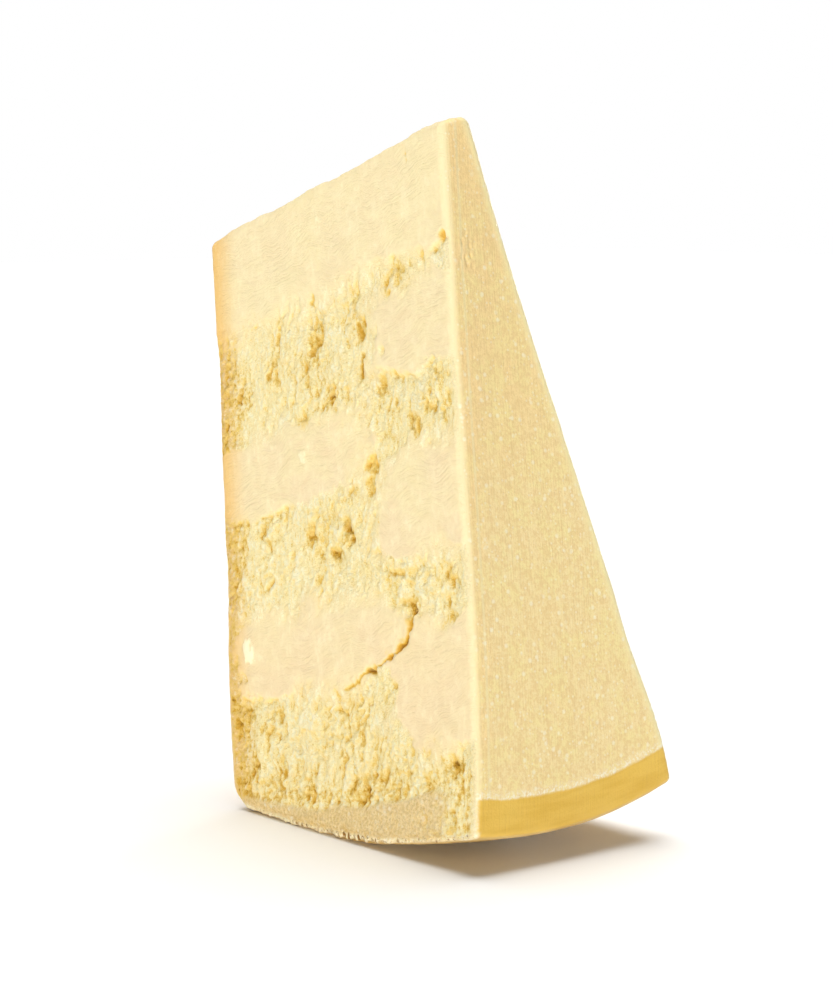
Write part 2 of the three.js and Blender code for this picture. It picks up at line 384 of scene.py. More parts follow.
def chips(wide, long, x, y, seed):
    """Broken chips round scattered middles: the distance to the nearest middle, the place from it
    and three random numbers of its own."""
    x, y = x / wide, y / long
    i, j = np.floor(x), np.floor(y)
    nearest = np.full(x.shape, 9.0)
    own = np.zeros((5,) + x.shape)
    for di in (-1, 0, 1):
        for dj in (-1, 0, 1):
            ci, cj = i + di, j + dj
            dx = x - ci - 0.15 - 0.7 * hashed(ci, cj, seed)
            dy = y - cj - 0.15 - 0.7 * hashed(ci, cj, seed + 101)
            away = np.hypot(dx, dy)
            closer = away < nearest
            nearest = np.where(closer, away, nearest)
            numbers = [hashed(ci, cj, seed + 200 + n) for n in range(3)]
            own = np.where(closer, np.stack([dx, dy] + numbers), own)
    return nearest, own[:2], own[2:]


def chip_relief(wide, long, step, tilt, x, y, seed):
    """Height of a layer of broken chips, each at its own level and tilt."""
    _, (dx, dy), (a, b, c) = chips(wide, long, x, y, seed)
    return step * (2 * a - 1) + tilt * (dx * (2 * b - 1) + dy * (2 * c - 1))


def dashes(wide, long, half_width, half_length, share, x, y, seed):
    """Scattered short gouges, drawn out along y: how deep in one each place is, from 0 to 1."""
    _, (dx, dy), (a, b, _) = chips(wide, long, x, y, seed)
    away = (dx * wide / half_width) ** 2 + (dy * long / half_length) ** 2
    return np.exp(-away) * (a < share) * (0.5 + 0.5 * b)


def grains(kind, x, y, seed):
    """Height of rounded grains and how hollow they are, each at a level of its own."""
    (wide, long), step, gap, sunk, gap_hollow, grain_hollow, all_hollow, own = kind
    near, _, numbers = chips(wide, long, x, y, seed)
    height = step * (numbers[0] - 0.5) - gap * near ** 2 - sunk
    return height, gap_hollow * near ** 2 + grain_hollow * (0.5 - numbers[own]) + all_hollow


# Relief of the broken faces

def fine(face_seed, layer):
    """The seed of one of a broken face's fine layers."""
    return SEED["fine"] + FINE_SEEDS_A_FACE * face_seed + FINE_SEED[layer]


def inside_mark(outline, depth, radius):
    """How far places lie inside a knife mark's outline, in millimetres."""
    mark_depth, mark_radius, half_depth, half_radius, slope = outline
    slope = math.radians(slope)
    x, y = depth - mark_depth, radius - mark_radius
    along = np.abs(x * math.cos(slope) + y * math.sin(slope)) / half_depth
    across = np.abs(y * math.cos(slope) - x * math.sin(slope)) / half_radius
    reach = (along ** MARK_SQUARENESS + across ** MARK_SQUARENESS) ** (1 / MARK_SQUARENESS)
    return (1 - reach) * half_radius


def knife_marks(marks, depth, radius, seed):
    """How much of each place the knife marks cover, and their level there. The outlines wander,
    coarsely as in the solid and finely as they crumble, and some stretches end in a step while
    others run out gently."""
    wander = wave(*MARK_WANDER, depth, radius, seed + SEED["edges"])
    wander += waves(MARK_CRUMBLE, depth, radius, fine(seed, "mark_crumble"))
    gentle = patchy(GENTLE_PATCHES, depth, radius, fine(seed, "gentle_edges"))
    edge = MARK_EDGE * (1 + GENTLE_EDGE * gentle)
    cover = np.zeros(depth.shape)
    levels = np.zeros(depth.shape)
    shares = np.zeros(depth.shape)
    for *outline, own_level in marks:
        inside = inside_mark(outline, depth, radius) + wander
        cover = np.maximum(cover, smoothstep(inside / edge, -1, 1))
        share = smoothstep(inside, -MARK_BLEND, MARK_BLEND)
        levels += share * own_level
        shares += share
    level = levels / np.maximum(shares, 1e-6)
    return cover, level + waves(MARK_SURFACE, depth, radius, fine(seed, "mark_surface"))


def deepest_pit(pits, depth, radius):
    """How deep in a pit each place is."""
    pit = np.zeros(depth.shape)
    for pit_depth, pit_radius, size, deep in pits:
        away = np.hypot(depth - pit_depth, (radius - pit_radius) / PIT_STRETCH) / size
        pit = np.maximum(pit, deep * (1 - smoothstep(away, *PIT_EDGE)))
    return pit


def torn_paste(pit, depth, radius, seed):
    """Height of the torn paste, how hollow it is, and how far each place is in a gouge: big lumps,
    chips at odd levels and tilts, streaks and gouges drawn out along the radius, and grains."""
    along = radius * math.cos(CRAG_LEAN) + depth * math.sin(CRAG_LEAN)
    across = depth * math.cos(CRAG_LEAN) - radius * math.sin(CRAG_LEAN)
    lumps = waves(CRAG_WAVES, across, along, seed, CRAG_LEVEL)
    across = waves(CRAG_WARP, depth, radius, fine(seed, "warp_across"), across)
    along = waves(CRAG_WARP, depth, radius, fine(seed, "warp_along"), along)
    relief = 0.0
    for n, layer in enumerate(CRAG_CHIPS):
        relief = relief + chip_relief(*layer, across, along, fine(seed, "chips") + n)
    relief = relief + waves(CRAG_STREAKS, across, along, fine(seed, "streaks"))
    relief = relief + waves(CRAG_GRAINS, depth, radius, fine(seed, "crag_grains"))
    rough = patchy(ROUGH_PATCHES, depth, radius, fine(seed, "rough"))
    relief = relief * lerp(CALM_SHARE, 1, rough)

    # Gouges lie in clusters, also in each pit.
    cluster = patchy(GOUGE_CLUSTERS, across, along, fine(seed, "clusters"))
    small = patchy(SMALL_CLUSTERS, across, along, fine(seed, "small_clusters"))
    cluster = np.maximum(cluster, SMALL_CLUSTER_SHARE * small)
    gouge = waves(GOUGE_WAVES, across, along, fine(seed, "gouges"))
    gouge = np.clip(gouge + GOUGE_LEVEL, 0, 1) * np.maximum(cluster, np.minimum(pit, 1))
    height = lumps + relief - GOUGE_DEEP * gouge
    return height, HOLLOW["gouge"] * gouge + HOLLOW["relief"] * relief, gouge


def firm_zone(depth, radius, to_rim, seed):
    """How much each place belongs to the firm zone by the rim, and how far from the rim that
    reaches."""
    reach = lerp(FIRM_ZONE_AT_CUT, FIRM_ZONE_AT_FLAT, np.clip(depth / DEPTH, 0, 1))
    reach = waves(FIRM_END, depth, radius, fine(seed, "firm_end"), reach)
    ragged = waves(FIRM_START, depth, radius, fine(seed, "firm_start"), depth)
    firm = (1 - smoothstep(to_rim - reach, *FIRM_END_FADE)) * smoothstep(ragged, *FIRM_START_FADE)
    return firm, reach


def crumbly_zone(depth, radius, above_firm, seed):
    """Where the paste crumbles into coarse grains: towards the wheel's flat side and above the
    firm zone."""
    by_flat = waves(CRUMBLY_BY_FLAT, depth, radius, fine(seed, "crumbly_by_flat"), depth)
    by_firm = waves(CRUMBLY_BY_FIRM, depth, radius, fine(seed, "crumbly_by_firm"), above_firm)
    return np.maximum(
        smoothstep(by_flat, *CRUMBLY_BY_FLAT_FADE),
        CRUMBLY_BY_FIRM_SHARE * (1 - smoothstep(by_firm, *CRUMBLY_BY_FIRM_FADE)),
    )


def pit_relief(pit, gouge):
    height = -PIT_DEEP * pit * lerp(*PIT_GOUGED_DEEP, gouge)
    return height, np.minimum(pit, PIT_HOLLOW_MOST) * lerp(*PIT_GOUGED_HOLLOW, gouge)


def from_line(points, x, y):
    """Distance of places to a line through a crack's points."""
    nearest = np.full(x.shape, 1e3)
    for (ax, ay), (bx, by) in zip(points, points[1:]):
        length = (bx - ax) ** 2 + (by - ay) ** 2
        t = np.clip(((x - ax) * (bx - ax) + (y - ay) * (by - ay)) / length, 0, 1)
        nearest = np.minimum(nearest, np.hypot(x - ax - t * (bx - ax), y - ay - t * (by - ay)))
    return nearest


def crack_relief(cracks, depth, radius, width):
    height = np.zeros(depth.shape)
    hollow = np.zeros(depth.shape)
    for points, half_width, deep in cracks:
        away = from_line(points, depth, radius) / width
        height -= deep * np.exp(-((away / half_width) ** 2))
        wider = CRACK_HOLLOW_WIDER * half_width
        hollow += HOLLOW["crack"] * deep ** 0.5 * np.exp(-((away / wider) ** 2))
    return height, hollow


def flake_relief(flakes, depth, radius):
    height = np.zeros(depth.shape)
    for flake_depth, flake_radius, half_depth, half_radius, raised in flakes:
        x, y = (depth - flake_depth) / half_depth, (radius - flake_radius) / half_radius
        height += raised * (1 - smoothstep(x ** 2 + y ** 2, *FLAKE_EDGE))
    return height, HOLLOW["flake"] * height


def rim_crumbs(depth, radius, to_rim, seed):
    """How much a broken face crumbles along its edge to the rim."""
    end = waves(CRUMBS_END, depth, radius, fine(seed, "crumbs_end"), to_rim)
    return (1 - smoothstep(end, *CRUMBS_FADE)) * smoothstep(depth, *CRUMBS_FROM_CUT)


def notches(depth, radius, to_rim, seed):
    """How far each place is in one of the small notches in the edge to the rim, each of its own
    width, reach and strength."""
    number = np.floor(depth / NOTCH_PITCH)
    shift, wide, strong = [
        hashed(number, np.zeros(depth.shape), fine(seed, "notches") + n) for n in range(3)
    ]
    along = from_middle(depth, NOTCH_PITCH) + NOTCH_SHIFT * (shift - 0.5) * NOTCH_PITCH
    along = waves(NOTCH_WANDER, depth, radius, fine(seed, "notch_wander"), along)
    half_width = NOTCH_HALF_WIDTH * lerp(*NOTCH_WIDTHS, wide)
    notch = np.exp(-((along / half_width) ** 2))
    notch *= 1 - smoothstep(to_rim, lerp(*NOTCH_START, strong), lerp(*NOTCH_END, strong))
    return notch * lerp(*NOTCH_STRENGTHS, strong) * between(depth, NOTCHES_FROM, NOTCHES_TO)


def broken_face(face, depth, radius, to_rim):
    """Height of a broken face, how torn it is there, how hollow, how much it belongs to the firm
    zone and how far it is in a notch."""
    marks, pits, cracks, flakes, seed = face
    cover, level = knife_marks(marks, depth, radius, seed)
    warped_depth = waves(PIT_WARP, depth, radius, fine(seed, "pit_depth"), depth)
    warped_radius = waves(PIT_WARP, depth, radius, fine(seed, "pit_radius"), radius)
    pit = deepest_pit(pits, warped_depth, warped_radius)
    torn, torn_hollow, gouge = torn_paste(pit, depth, radius, seed)

    # The crags die out in the firm zone and at the edges to the cut and the rim.
    firm, firm_reach = firm_zone(depth, radius, to_rim, seed)
    strength = smoothstep(depth, 0, CRAG_START_DEPTH) * (1 - FIRM_CALM * firm)
    strength *= smoothstep(to_rim, *CRAG_END_AT_RIM)
    height = (1 - cover) * torn * strength + cover * level
    hollow = (1 - cover) * torn_hollow * strength

    crumbly = crumbly_zone(depth, radius, to_rim - firm_reach, seed) * (1 - cover) * (1 - firm)
    crumbs = rim_crumbs(depth, radius, to_rim, seed)
    zones = (("firm_grains", firm), ("crumbly_grains", crumbly), ("crumbs_grains", crumbs))
    for kind, share in zones:
        grain_height, grain_hollow = grains(GRAINS[kind], depth, radius, fine(seed, kind))
        height += share * grain_height
        hollow += share * grain_hollow

    middle_depth, middle_radius = (depth + warped_depth) / 2, (radius + warped_radius) / 2
    width = lerp(*CRACK_WIDTHS, patchy(CRACK_PATCHES, depth, radius, fine(seed, "crack_width")))
    for form_height, form_hollow in (
        pit_relief(pit, gouge),
        crack_relief(cracks, middle_depth, middle_radius, width),
        flake_relief(flakes, warped_depth, radius),
    ):
        height += form_height
        hollow += form_hollow

    notch = notches(depth, radius, to_rim, seed)
    return height - NOTCH_DEEP * notch, 1 - cover, hollow, firm, notch


# Relief of the other sides

def cut_face(across, radius):
    """Height of the plain cut and how hollow it is: nearly flat, with faint scratches along the
    knife's way and a torn nick near the edge."""
    seed = SEED["cut_face"]
    nick_across, nick_radius, half_wide, half_long = CUT_NICK
    away = ((across - nick_across) / half_wide) ** 2 + ((radius - nick_radius) / half_long) ** 2
    nick = np.exp(-away)
    holes = dashes(*NICK_HOLES, across, radius, seed + len(CUT_FACE_WAVES)) * nick
    height = waves(CUT_FACE_WAVES, across, radius, seed) - NICK_DEEP * holes
    return height, HOLLOW["nick"] * holes + HOLLOW["by_nick"] * nick


def rim(depth, across, to_broken):
    """Height of the rim's rind, with plain rows of dimples, crumbling along the broken faces."""
    seed = SEED["rim"]
    end = waves(RIM_CRUMBS_END, depth, across, seed + 2, to_broken)
    crumbs = (1 - smoothstep(end, *RIM_CRUMBS_FADE)) * smoothstep(depth, *RIM_CRUMBS_FROM_CUT)
    near, _, numbers = chips(*RIM_CRUMB_SIZE, depth, across, seed + 3)
    height = waves(RIM_WAVES, depth, across, seed)
    height -= crumbs * (RIM_CRUMB_GAP * near ** 2 + RIM_CRUMB_STEP * numbers[0])
    x = from_middle(depth, DIMPLE_PITCH) / DIMPLE_HALF_SIZE[0]
    y = from_middle(across - DIMPLE_ROW_START, DIMPLE_ROW_PITCH) / DIMPLE_HALF_SIZE[1]
    dimple = np.exp(-(x ** 2) - y ** 2)
    return height - DIMPLE_DEEP * dimple * between(depth, DIMPLES_FROM, DIMPLES_TO)


# The skin

def rows_of(count):
    """For each row along one axis, how far it has come along the straight stretch and how far it
    has turned into a rounding."""
    n = np.arange(count + 1)
    straight = np.clip((n - ROWS_IN_ROUNDING) / (count - 2 * ROWS_IN_ROUNDING), 0, 1)
    low = np.tan(math.pi / 4 * np.clip(1 - n / ROWS_IN_ROUNDING, 0, 1))
    high = np.tan(math.pi / 4 * np.clip(1 - (count - n) / ROWS_IN_ROUNDING, 0, 1))
    return straight, high - low


def rounded(straight, facing, length, round_low, round_high):
    inner = round_low + straight * (length - round_low - round_high)
    return inner + facing * np.where(facing < 0, round_low, round_high)


def rim_radius(depth, share_across):
    barrel = (depth - RIM_FULLEST_DEPTH) ** 2 / (2 * RIM_CURVE_RADIUS)
    return WHEEL_RADIUS - barrel + RIM_BELLY * (1 - (2 * share_across - 1) ** 2)


def tip_radius(depth):
    return lerp(TIP_RADIUS_CUT_SIDE, TIP_RADIUS_RIND_SIDE, depth / DEPTH)


def swelling(share_out, depth):
    """How far the cut face swells out towards the rim. The curve's own height is 27 / 256."""
    return (
        CUT_FACE_BELLY * 256 / 27 * share_out ** 3 * (1 - share_out)
        * np.maximum(0, 1 - depth / CUT_FACE_BELLY_REACH)
    )


def flare(radius):
    """How much wider than the plain wedge it is towards the rim."""
    return FLARE * smoothstep(radius, FLARE_START_RADIUS, FLARE_FULL_RADIUS)


def skin_points(cells):
    """Places of the skin's points in the row's frame, in millimetres."""
    (sd, td), (sa, ta), (sr, tr) = [
        (straight[cells[:, axis]], turned[cells[:, axis]])
        for axis, (straight, turned) in enumerate(rows_of(count) for count in ROWS)
    ]
    facing = np.stack([td, ta, tr])
    fx, fy, fz = facing / np.linalg.norm(facing, axis=0)

    round_rind = lerp(ROUND_RIND_AT_TIP, ROUND_RIND_AT_RIM, sr)
    depth = rounded(sd, fx, DEPTH, ROUND_CUT, round_rind)
    outer = rim_radius(depth, sa)
    round_rim = lerp(ROUND_RIM_AT_CUT, ROUND_RIM_AT_RIND, depth / DEPTH)
    length = outer - tip_radius(depth)
    out = rounded(sr, fz, length, ROUND_TIP, round_rim)
    radius = tip_radius(depth) + out
    width = radius * WEDGE_ANGLE
    across = rounded(sa, fy, width, ROUND_BROKEN, ROUND_BROKEN)
    angle = NEAR_FACE_ANGLE + across / radius

    near, far = [broken_face(f, depth, radius, outer - radius)[0] for f in (NEAR_FACE, FAR_FACE)]
    cut = cut_face(across, radius)[0]
    flat_rind = waves(FLAT_RIND_WAVES, across, radius, SEED["flat_rind"])
    broken_tip = waves(TIP_WAVES, depth, across, SEED["tip"])
    rim_skin = rim(depth, across, np.minimum(across, width - across))
    height = (
        fx ** 2 * np.where(fx < 0, cut, flat_rind)
        + fy ** 2 * np.where(fy < 0, near, far)
        + fz ** 2 * np.where(fz < 0, broken_tip, rim_skin)
    )
    axial = depth - swelling(np.clip(out / length, 0, 1), depth) + height * fx
    outwards = radius + height * fz
    sideways = height * fy + flare(radius) * across / width
    x = outwards * np.sin(angle) + sideways * np.cos(angle)
    z = -outwards * np.cos(angle) + sideways * np.sin(angle)
    return to_row_frame(np.stack([x, axial, z], axis=1))


def to_row_frame(points):
    """From the wheel's frame to the row's, with what would reach through the floor ending on it."""
    points = points @ LEAN.T + WHEEL_CENTRE
    points[:, 2] = np.maximum(points[:, 2], 0)
    return points


def block_skin(counts):
    """The cells on the surface of a block of rows, and its six sides as quads between them."""
    shape = tuple(count + 1 for count in counts)
    surface = np.zeros(shape, dtype=bool)
    for axis in range(3):
        side = np.moveaxis(surface, axis, 0)
        side[0] = True
        side[-1] = True
    cells = np.argwhere(surface)
    number = np.full(shape, -1, dtype=np.int32)
    number[surface] = np.arange(len(cells))
    quads = []
    for axis in range(3):
        for end in (0, -1):
            # The two other axes in turning order, so that quads face outwards at the high end.
            grid = np.moveaxis(number, (axis, (axis + 1) % 3, (axis + 2) % 3), (0, 1, 2))[end]
            corners = [grid[:-1, :-1], grid[1:, :-1], grid[1:, 1:], grid[:-1, 1:]]
            if end == 0:
                corners.reverse()
            quads.append(np.stack([corner.ravel() for corner in corners], axis=1))
    return cells, np.concatenate(quads)


# The mesh

def mesh_of(name, points, quads):
    mesh = bpy.data.meshes.new(name)
    mesh.vertices.add(len(points))
    mesh.vertices.foreach_set("co", points.astype(np.float32).ravel())
    mesh.loops.add(quads.size)
    mesh.loops.foreach_set("vertex_index", quads.astype(np.int32).ravel())
    mesh.polygons.add(len(quads))
    mesh.polygons.foreach_set("loop_start", np.arange(0, quads.size, 4, dtype=np.int32))
    mesh.update(calc_edges=True)
    mesh.validate()
    return mesh


def thinned(piece, triangles):
    """The piece's mesh with fewer triangles, most where the relief is rough."""
    mesh = piece.data
    mesh.calc_loop_triangles()
    modifier = piece.modifiers.new("thin", "DECIMATE")
    modifier.ratio = triangles / len(mesh.loop_triangles)
    depsgraph = bpy.context.evaluated_depsgraph_get()
    return bpy.data.meshes.new_from_object(piece.evaluated_get(depsgraph))


def points_of(mesh):
    points = np.empty(len(mesh.vertices) * 3, dtype=np.float32)
    mesh.vertices.foreach_get("co", points)
    return points.reshape(-1, 3)


def keep_inside(mesh, box):
    """Puts the few points that relief or thinning took out of a box back onto its sides."""
    points = np.clip(points_of(mesh), *np.array(box, dtype=np.float32))
    mesh.vertices.foreach_set("co", points.ravel())
    mesh.update()


def add_attributes(mesh):
    """What the material needs to know of each place: where it is in the wheel, how far from each
    edge, how much it belongs to a broken face, and how torn, hollow, firm or notched it is."""
    x, depth, z = ((points_of(mesh) / MM - WHEEL_CENTRE) @ LEAN).T
    radius = np.hypot(x, z)
    across = (np.arctan2(x, -z) - NEAR_FACE_ANGLE) * radius
    width = radius * WEDGE_ANGLE
    across = across - flare(radius) * np.clip(across / width, 0, 1)
    share_across = np.clip(across / width, 0, 1)
    outer = rim_radius(depth, share_across)
    share_out = np.clip((radius - tip_radius(depth)) / (outer - tip_radius(depth)), 0, 1)
    depth = depth + swelling(share_out, depth)

    near, far = [broken_face(f, depth, radius, outer - radius) for f in (NEAR_FACE, FAR_FACE)]
    is_near = share_across < 0.5
    _, torn, hollow, firm, notch = [np.where(is_near, a, b) for a, b in zip(near, far)]
    to_broken = np.where(is_near, across, width - across)
    to_others = np.minimum(depth, np.minimum(DEPTH - depth, outer - radius))
    broken = 1 - smoothstep(to_broken - to_others, -1, 1)
    nick_hollow = np.where(depth < NICK_REACH, cut_face(across, radius)[1], 0)
    for name, values in {
        "torn": torn * broken,
        "firm": firm * broken,
        "notch": notch * (1 - smoothstep(to_broken, 1.2, 3.0)),
        "hollow": hollow * broken + nick_hollow * (1 - broken),
        "broken": broken,
        "to_broken": to_broken,
        "to_rim": outer - radius,
        "to_flat": DEPTH - depth,
        "to_cut": depth,
    }.items():
        attribute = mesh.attributes.new(name, "FLOAT", "POINT")
        attribute.data.foreach_set("value", values.astype(np.float32))
    place = mesh.attributes.new("place", "FLOAT_VECTOR", "POINT")
    coordinates = np.stack([depth, across, radius], axis=1)
    place.data.foreach_set("vector", coordinates.astype(np.float32).ravel())


# Colours

def linear(*screen):
    """A colour given as it shows on a screen, from 0 to 255, as the light that it stands for."""
    shares = [value / 255 for value in screen]
    light = [s / 12.92 if s <= 0.04045 else ((s + 0.055) / 1.055) ** 2.4 for s in shares]
    return (*light, 1.0)


PASTE = linear(235, 214, 171)
PASTE_YELLOW = linear(236, 218, 170)
PASTE_ROSY = linear(234, 210, 166)
PASTE_TORN = linear(255, 236, 176)
# Painted shade for hollows, pits, cracks, holes, grain gaps and notches, from ochre to dark brown.
# The darkest also makes the dark specks along the rim edge.
PASTE_HOLLOW = linear(236, 201, 102)
PASTE_DEEP = linear(216, 165, 52)
PASTE_DARKEST = linear(148, 102, 28)
# Painted shade for the downward sides of the torn paste.
PASTE_PAINTED_SHADE = linear(250, 218, 130)
# Painted highlight on ridges and on what stands out of the torn paste.
PASTE_RIDGE = linear(255, 245, 206)
# A pale paste tone, also used for the painted highlight along the edges to the cut.
PASTE_PALE = linear(241, 226, 178)
CUT_PASTE = linear(247, 225, 168)
CUT_PASTE_WARM = linear(250, 220, 158)
CUT_YELLOW = linear(246, 228, 160)
CUT_DARK = linear(236, 205, 144)
CUT_EDGE = linear(255, 242, 186)
GOLDEN = linear(236, 196, 92)
GOLDEN_DEEP = linear(227, 184, 78)
RIND = linear(212, 174, 104)
RIND_PALE = linear(226, 195, 134)
RIND_DARK = linear(180, 136, 70)
FIRM = linear(243, 214, 157)
FIRM_DARK = linear(215, 182, 119)
FIRM_WARM = linear(234, 190, 112)
CRYSTAL = linear(255, 248, 226)
FLOOR_WHITES = (linear(253, 253, 253), linear(255, 255, 255))

# The zones that the colours follow, from where they set in to where they are full, in millimetres
# from their edge or side.
CUT_ZONE = (6, 3)
WARM_ZONE = (14, 1)
# Painted highlight along the rounded edges between the broken faces and the cut.
EDGE_HIGHLIGHT_ZONE = (3.2, 1.2)
PALE_FAR_EDGE = (4.6, 1.0)
EDGE_LINE_ACROSS = 4.2
EDGE_LINE_WIDTH = (0.7, 0.1)
GOLDEN_ZONE = (10.2, 9.3)
GOLDEN_FROM_BROKEN = (0.4, 1.8)
FLOURY_ZONE = (12.5, 10.4)
RIND_SKIN = (1.1, 0.3)
FLOURY_RIM_EDGE = (3.0, 1.4)
SPECKS_FROM_FLAT = (4, 16)

# Crystals in the paste: cells per millimetre, the share of cells without one, and how much it
# shows.
CRYSTALS = [(0.42, 0.45, 0.5), (0.75, 0.4, 0.4)]
CRYSTAL_SIZE = (0.34, 0.12)

CHEESE_SURFACE = {
    "IOR": 1.4,
    "Specular IOR Level": 0.35,
    "Subsurface Weight": 0.15,
    "Subsurface Radius": (1.0, 0.8, 0.5),
    "Subsurface Scale": 0.001,
}
CHEESE_ROUGHNESS = (0.48, 0.62)
CHEESE_BUMP = {"Strength": 0.7, "Distance": 0.0006}
FLOOR_SURFACE = {"Roughness": 0.7, "Specular IOR Level": 0.2}


# Materials

class Nodes:
    """Short calls for the nodes of one material."""

    def __init__(self, material):
        material.use_nodes = True
        self.tree = material.node_tree
        self.shader = self.tree.nodes["Principled BSDF"]
        self.here = self.new("TexCoord").outputs["Object"]

    def new(self, kind, **settings):
        node = self.tree.nodes.new("ShaderNode" + kind)
        for name, value in settings.items():
            setattr(node, name, value)
        return node

    def put(self, value, socket):
        if isinstance(value, bpy.types.NodeSocket):
            self.tree.links.new(value, socket)
        else:
            socket.default_value = value

    def put_all(self, values, node):
        for name, value in values.items():
            self.put(value, node.inputs[name])

    def attribute(self, name, output="Fac"):
        return self.new("Attribute", attribute_name=name).outputs[output]

    def math(self, operation, a, b=0.0):
        node = self.new("Math", operation=operation)
        self.put(a, node.inputs[0])
        self.put(b, node.inputs[1])
        return node.outputs[0]

    def plus(self, total, *others):
        for other in others:
            total = self.math("ADD", total, other)
        return total

    def minus(self, a, b):
        return self.math("SUBTRACT", a, b)

    def times(self, product, *others):
        for other in others:
            product = self.math("MULTIPLY", product, other)
        return product

    def larger(self, a, b):
        return self.math("MAXIMUM", a, b)

    def centred(self, value):
        """A value from 0 to 1 as one from -0.5 to 0.5."""
        return self.minus(value, 0.5)

    def rest_of(self, value):
        return self.minus(1.0, value)

    def split(self, vector):
        node = self.new("SeparateXYZ")
        self.put(vector, node.inputs[0])
        return node.outputs

    def ramp(self, value, low, high, start=0.0, end=1.0):
        """From start to end as value goes from low to high, smoothly."""
        node = self.new("MapRange", interpolation_type="SMOOTHSTEP")
        for socket, number in zip(node.inputs, (value, low, high, start, end)):
            self.put(number, socket)
        return node.outputs[0]

    def mix(self, share, a, b):
        node = self.new("Mix", data_type="RGBA")
        # The colour sockets of this node come after those for numbers and vectors.
        self.put(share, node.inputs[0])
        self.put(a, node.inputs[6])
        self.put(b, node.inputs[7])
        return node.outputs[2]

    def tinted(self, colour, tint, value, low, high, share=1.0):
        """A colour that goes over to another, up to a share, as value goes from low to high."""
        return self.mix(self.ramp(value, low, high, 0.0, share), colour, tint)

    def noise(self, vector, scale, detail=3.0, roughness=0.5, distortion=0.0):
        node = self.new("TexNoise")
        self.put_all({
            "Vector": vector, "Scale": scale, "Detail": detail, "Roughness": roughness,
            "Distortion": distortion,
        }, node)
        return node.outputs["Fac"]

    def stretched(self, vector, scale):
        node = self.new("VectorMath", operation="MULTIPLY")
        self.put(vector, node.inputs[0])
        node.inputs[1].default_value = scale
        return node.outputs[0]

    def scattered(self, vector, scale):
        """Distance to the nearest of scattered points, and a random number of its own."""
        node = self.new("TexVoronoi")
        self.put_all({"Vector": vector, "Scale": scale}, node)
        split = self.new("SeparateColor")
        self.put(node.outputs["Color"], split.inputs["Color"])
        return node.outputs["Distance"], split.outputs["Red"]


class CheeseNodes(Nodes):
    """The nodes of the cheese, with what they know of each place and the noises they share."""

    def __init__(self, material):
        super().__init__(material)
        self.mm = self.stretched(self.here, (1 / MM, 1 / MM, 1 / MM))
        self.place = self.attribute("place", "Vector")
        self.depth, self.across, self.radius = self.split(self.place)
        self.torn = self.attribute("torn")
        self.hollow = self.attribute("hollow")
        self.firm = self.attribute("firm")
        self.notch = self.attribute("notch")
        self.broken = self.attribute("broken")
        self.to_rim = self.attribute("to_rim")
        self.to_flat = self.attribute("to_flat")
        self.to_cut = self.attribute("to_cut")
        self.to_broken = self.attribute("to_broken")
        self.cut = self.times(self.rest_of(self.broken), self.ramp(self.to_cut, *CUT_ZONE))

        self.cloud = self.noise(self.mm, 0.06, 3)
        self.mottle = self.noise(self.mm, 0.22, 4, 0.6)
        self.grain = self.noise(self.mm, 1.3, 4, 0.65)
        self.crumb = self.centred(self.noise(self.mm, 2.4, 2, 0.7))
        self.ragged = self.times(self.mottle, 1.2)


def broken_colour(n):
    """Broken faces: smooth knife marks, torn paste, pale ridges and ochre hollows."""
    smear = n.noise(n.stretched(n.place, (0.5, 1, 1)), 0.24, 5, distortion=1.2)
    colour = n.tinted(PASTE, PASTE_YELLOW, n.cloud, 0.35, 0.65)
    colour = n.tinted(colour, PASTE_ROSY, smear, 0.52, 0.7, 0.5)
    colour = n.tinted(colour, PASTE_PALE, smear, 0.48, 0.3, 0.5)
    colour = n.tinted(colour, PASTE_PALE, n.radius, 100, 40, 0.4)
    colour = n.tinted(colour, PASTE_ROSY, n.radius, 120, 180, 0.5)
    colour = n.mix(n.torn, colour, PASTE_TORN)

    # Towards the wheel's flat side a broken face is warmer.
    wander = n.times(n.centred(n.mottle), 5.0)
    warm = n.times(n.ramp(n.plus(n.to_flat, wander), *WARM_ZONE, 0, 0.95), n.broken)
    colour = n.mix(warm, colour, FIRM_WARM)

    # Ridges and what stands out get a painted highlight, and hollows, pits, cracks and gaps get
    # painted shade through ochre to brown, mixed with random flecks and patches of tone.
    fleck = n.noise(n.stretched(n.place, (1, 1, 0.4)), 0.9, 4, 0.65)
    patches = n.times(n.centred(n.mottle), n.ramp(n.torn, 0, 1, 0.5, 0.9))
    speckled = n.times(n.centred(fleck), n.ramp(n.torn, 0, 1, 0.4, 2.6))
    speckled = n.plus(speckled, n.times(n.torn, 1.6, n.crumb))
    uneven = n.plus(n.hollow, n.plus(patches, speckled))
    ridge_highlight = n.times(n.ramp(uneven, 0.06, -0.42, 0, 0.93), n.ramp(warm, 0, 1, 1, 0.4))
    colour = n.mix(ridge_highlight, colour, PASTE_RIDGE)
    colour = n.tinted(colour, PASTE_HOLLOW, uneven, 0.12, 0.8, 0.85)
    colour = n.tinted(colour, PASTE_DEEP, uneven, 0.65, 1.35, 0.95)
    colour = n.tinted(colour, PASTE_DARKEST, uneven, 1.35, 2.1, 0.85)

    # Painted shade: the downward sides of the torn paste are painted a darker, warmer ochre, as
    # they would be in shade under a light from above, warmed by light through the paste.
    upwards = n.split(n.new("NewGeometry").outputs["Normal"])[2]
    painted_shade = n.times(n.ramp(upwards, 0.1, -0.6, 0, 0.85), n.torn)
    colour = n.mix(painted_shade, colour, PASTE_PAINTED_SHADE)

    # The firm zone along the rim is sandy.
    sandy = n.tinted(FIRM, FIRM_DARK, n.grain, 0.4, 0.62)
    return n.mix(n.times(n.firm, 0.75), colour, sandy)


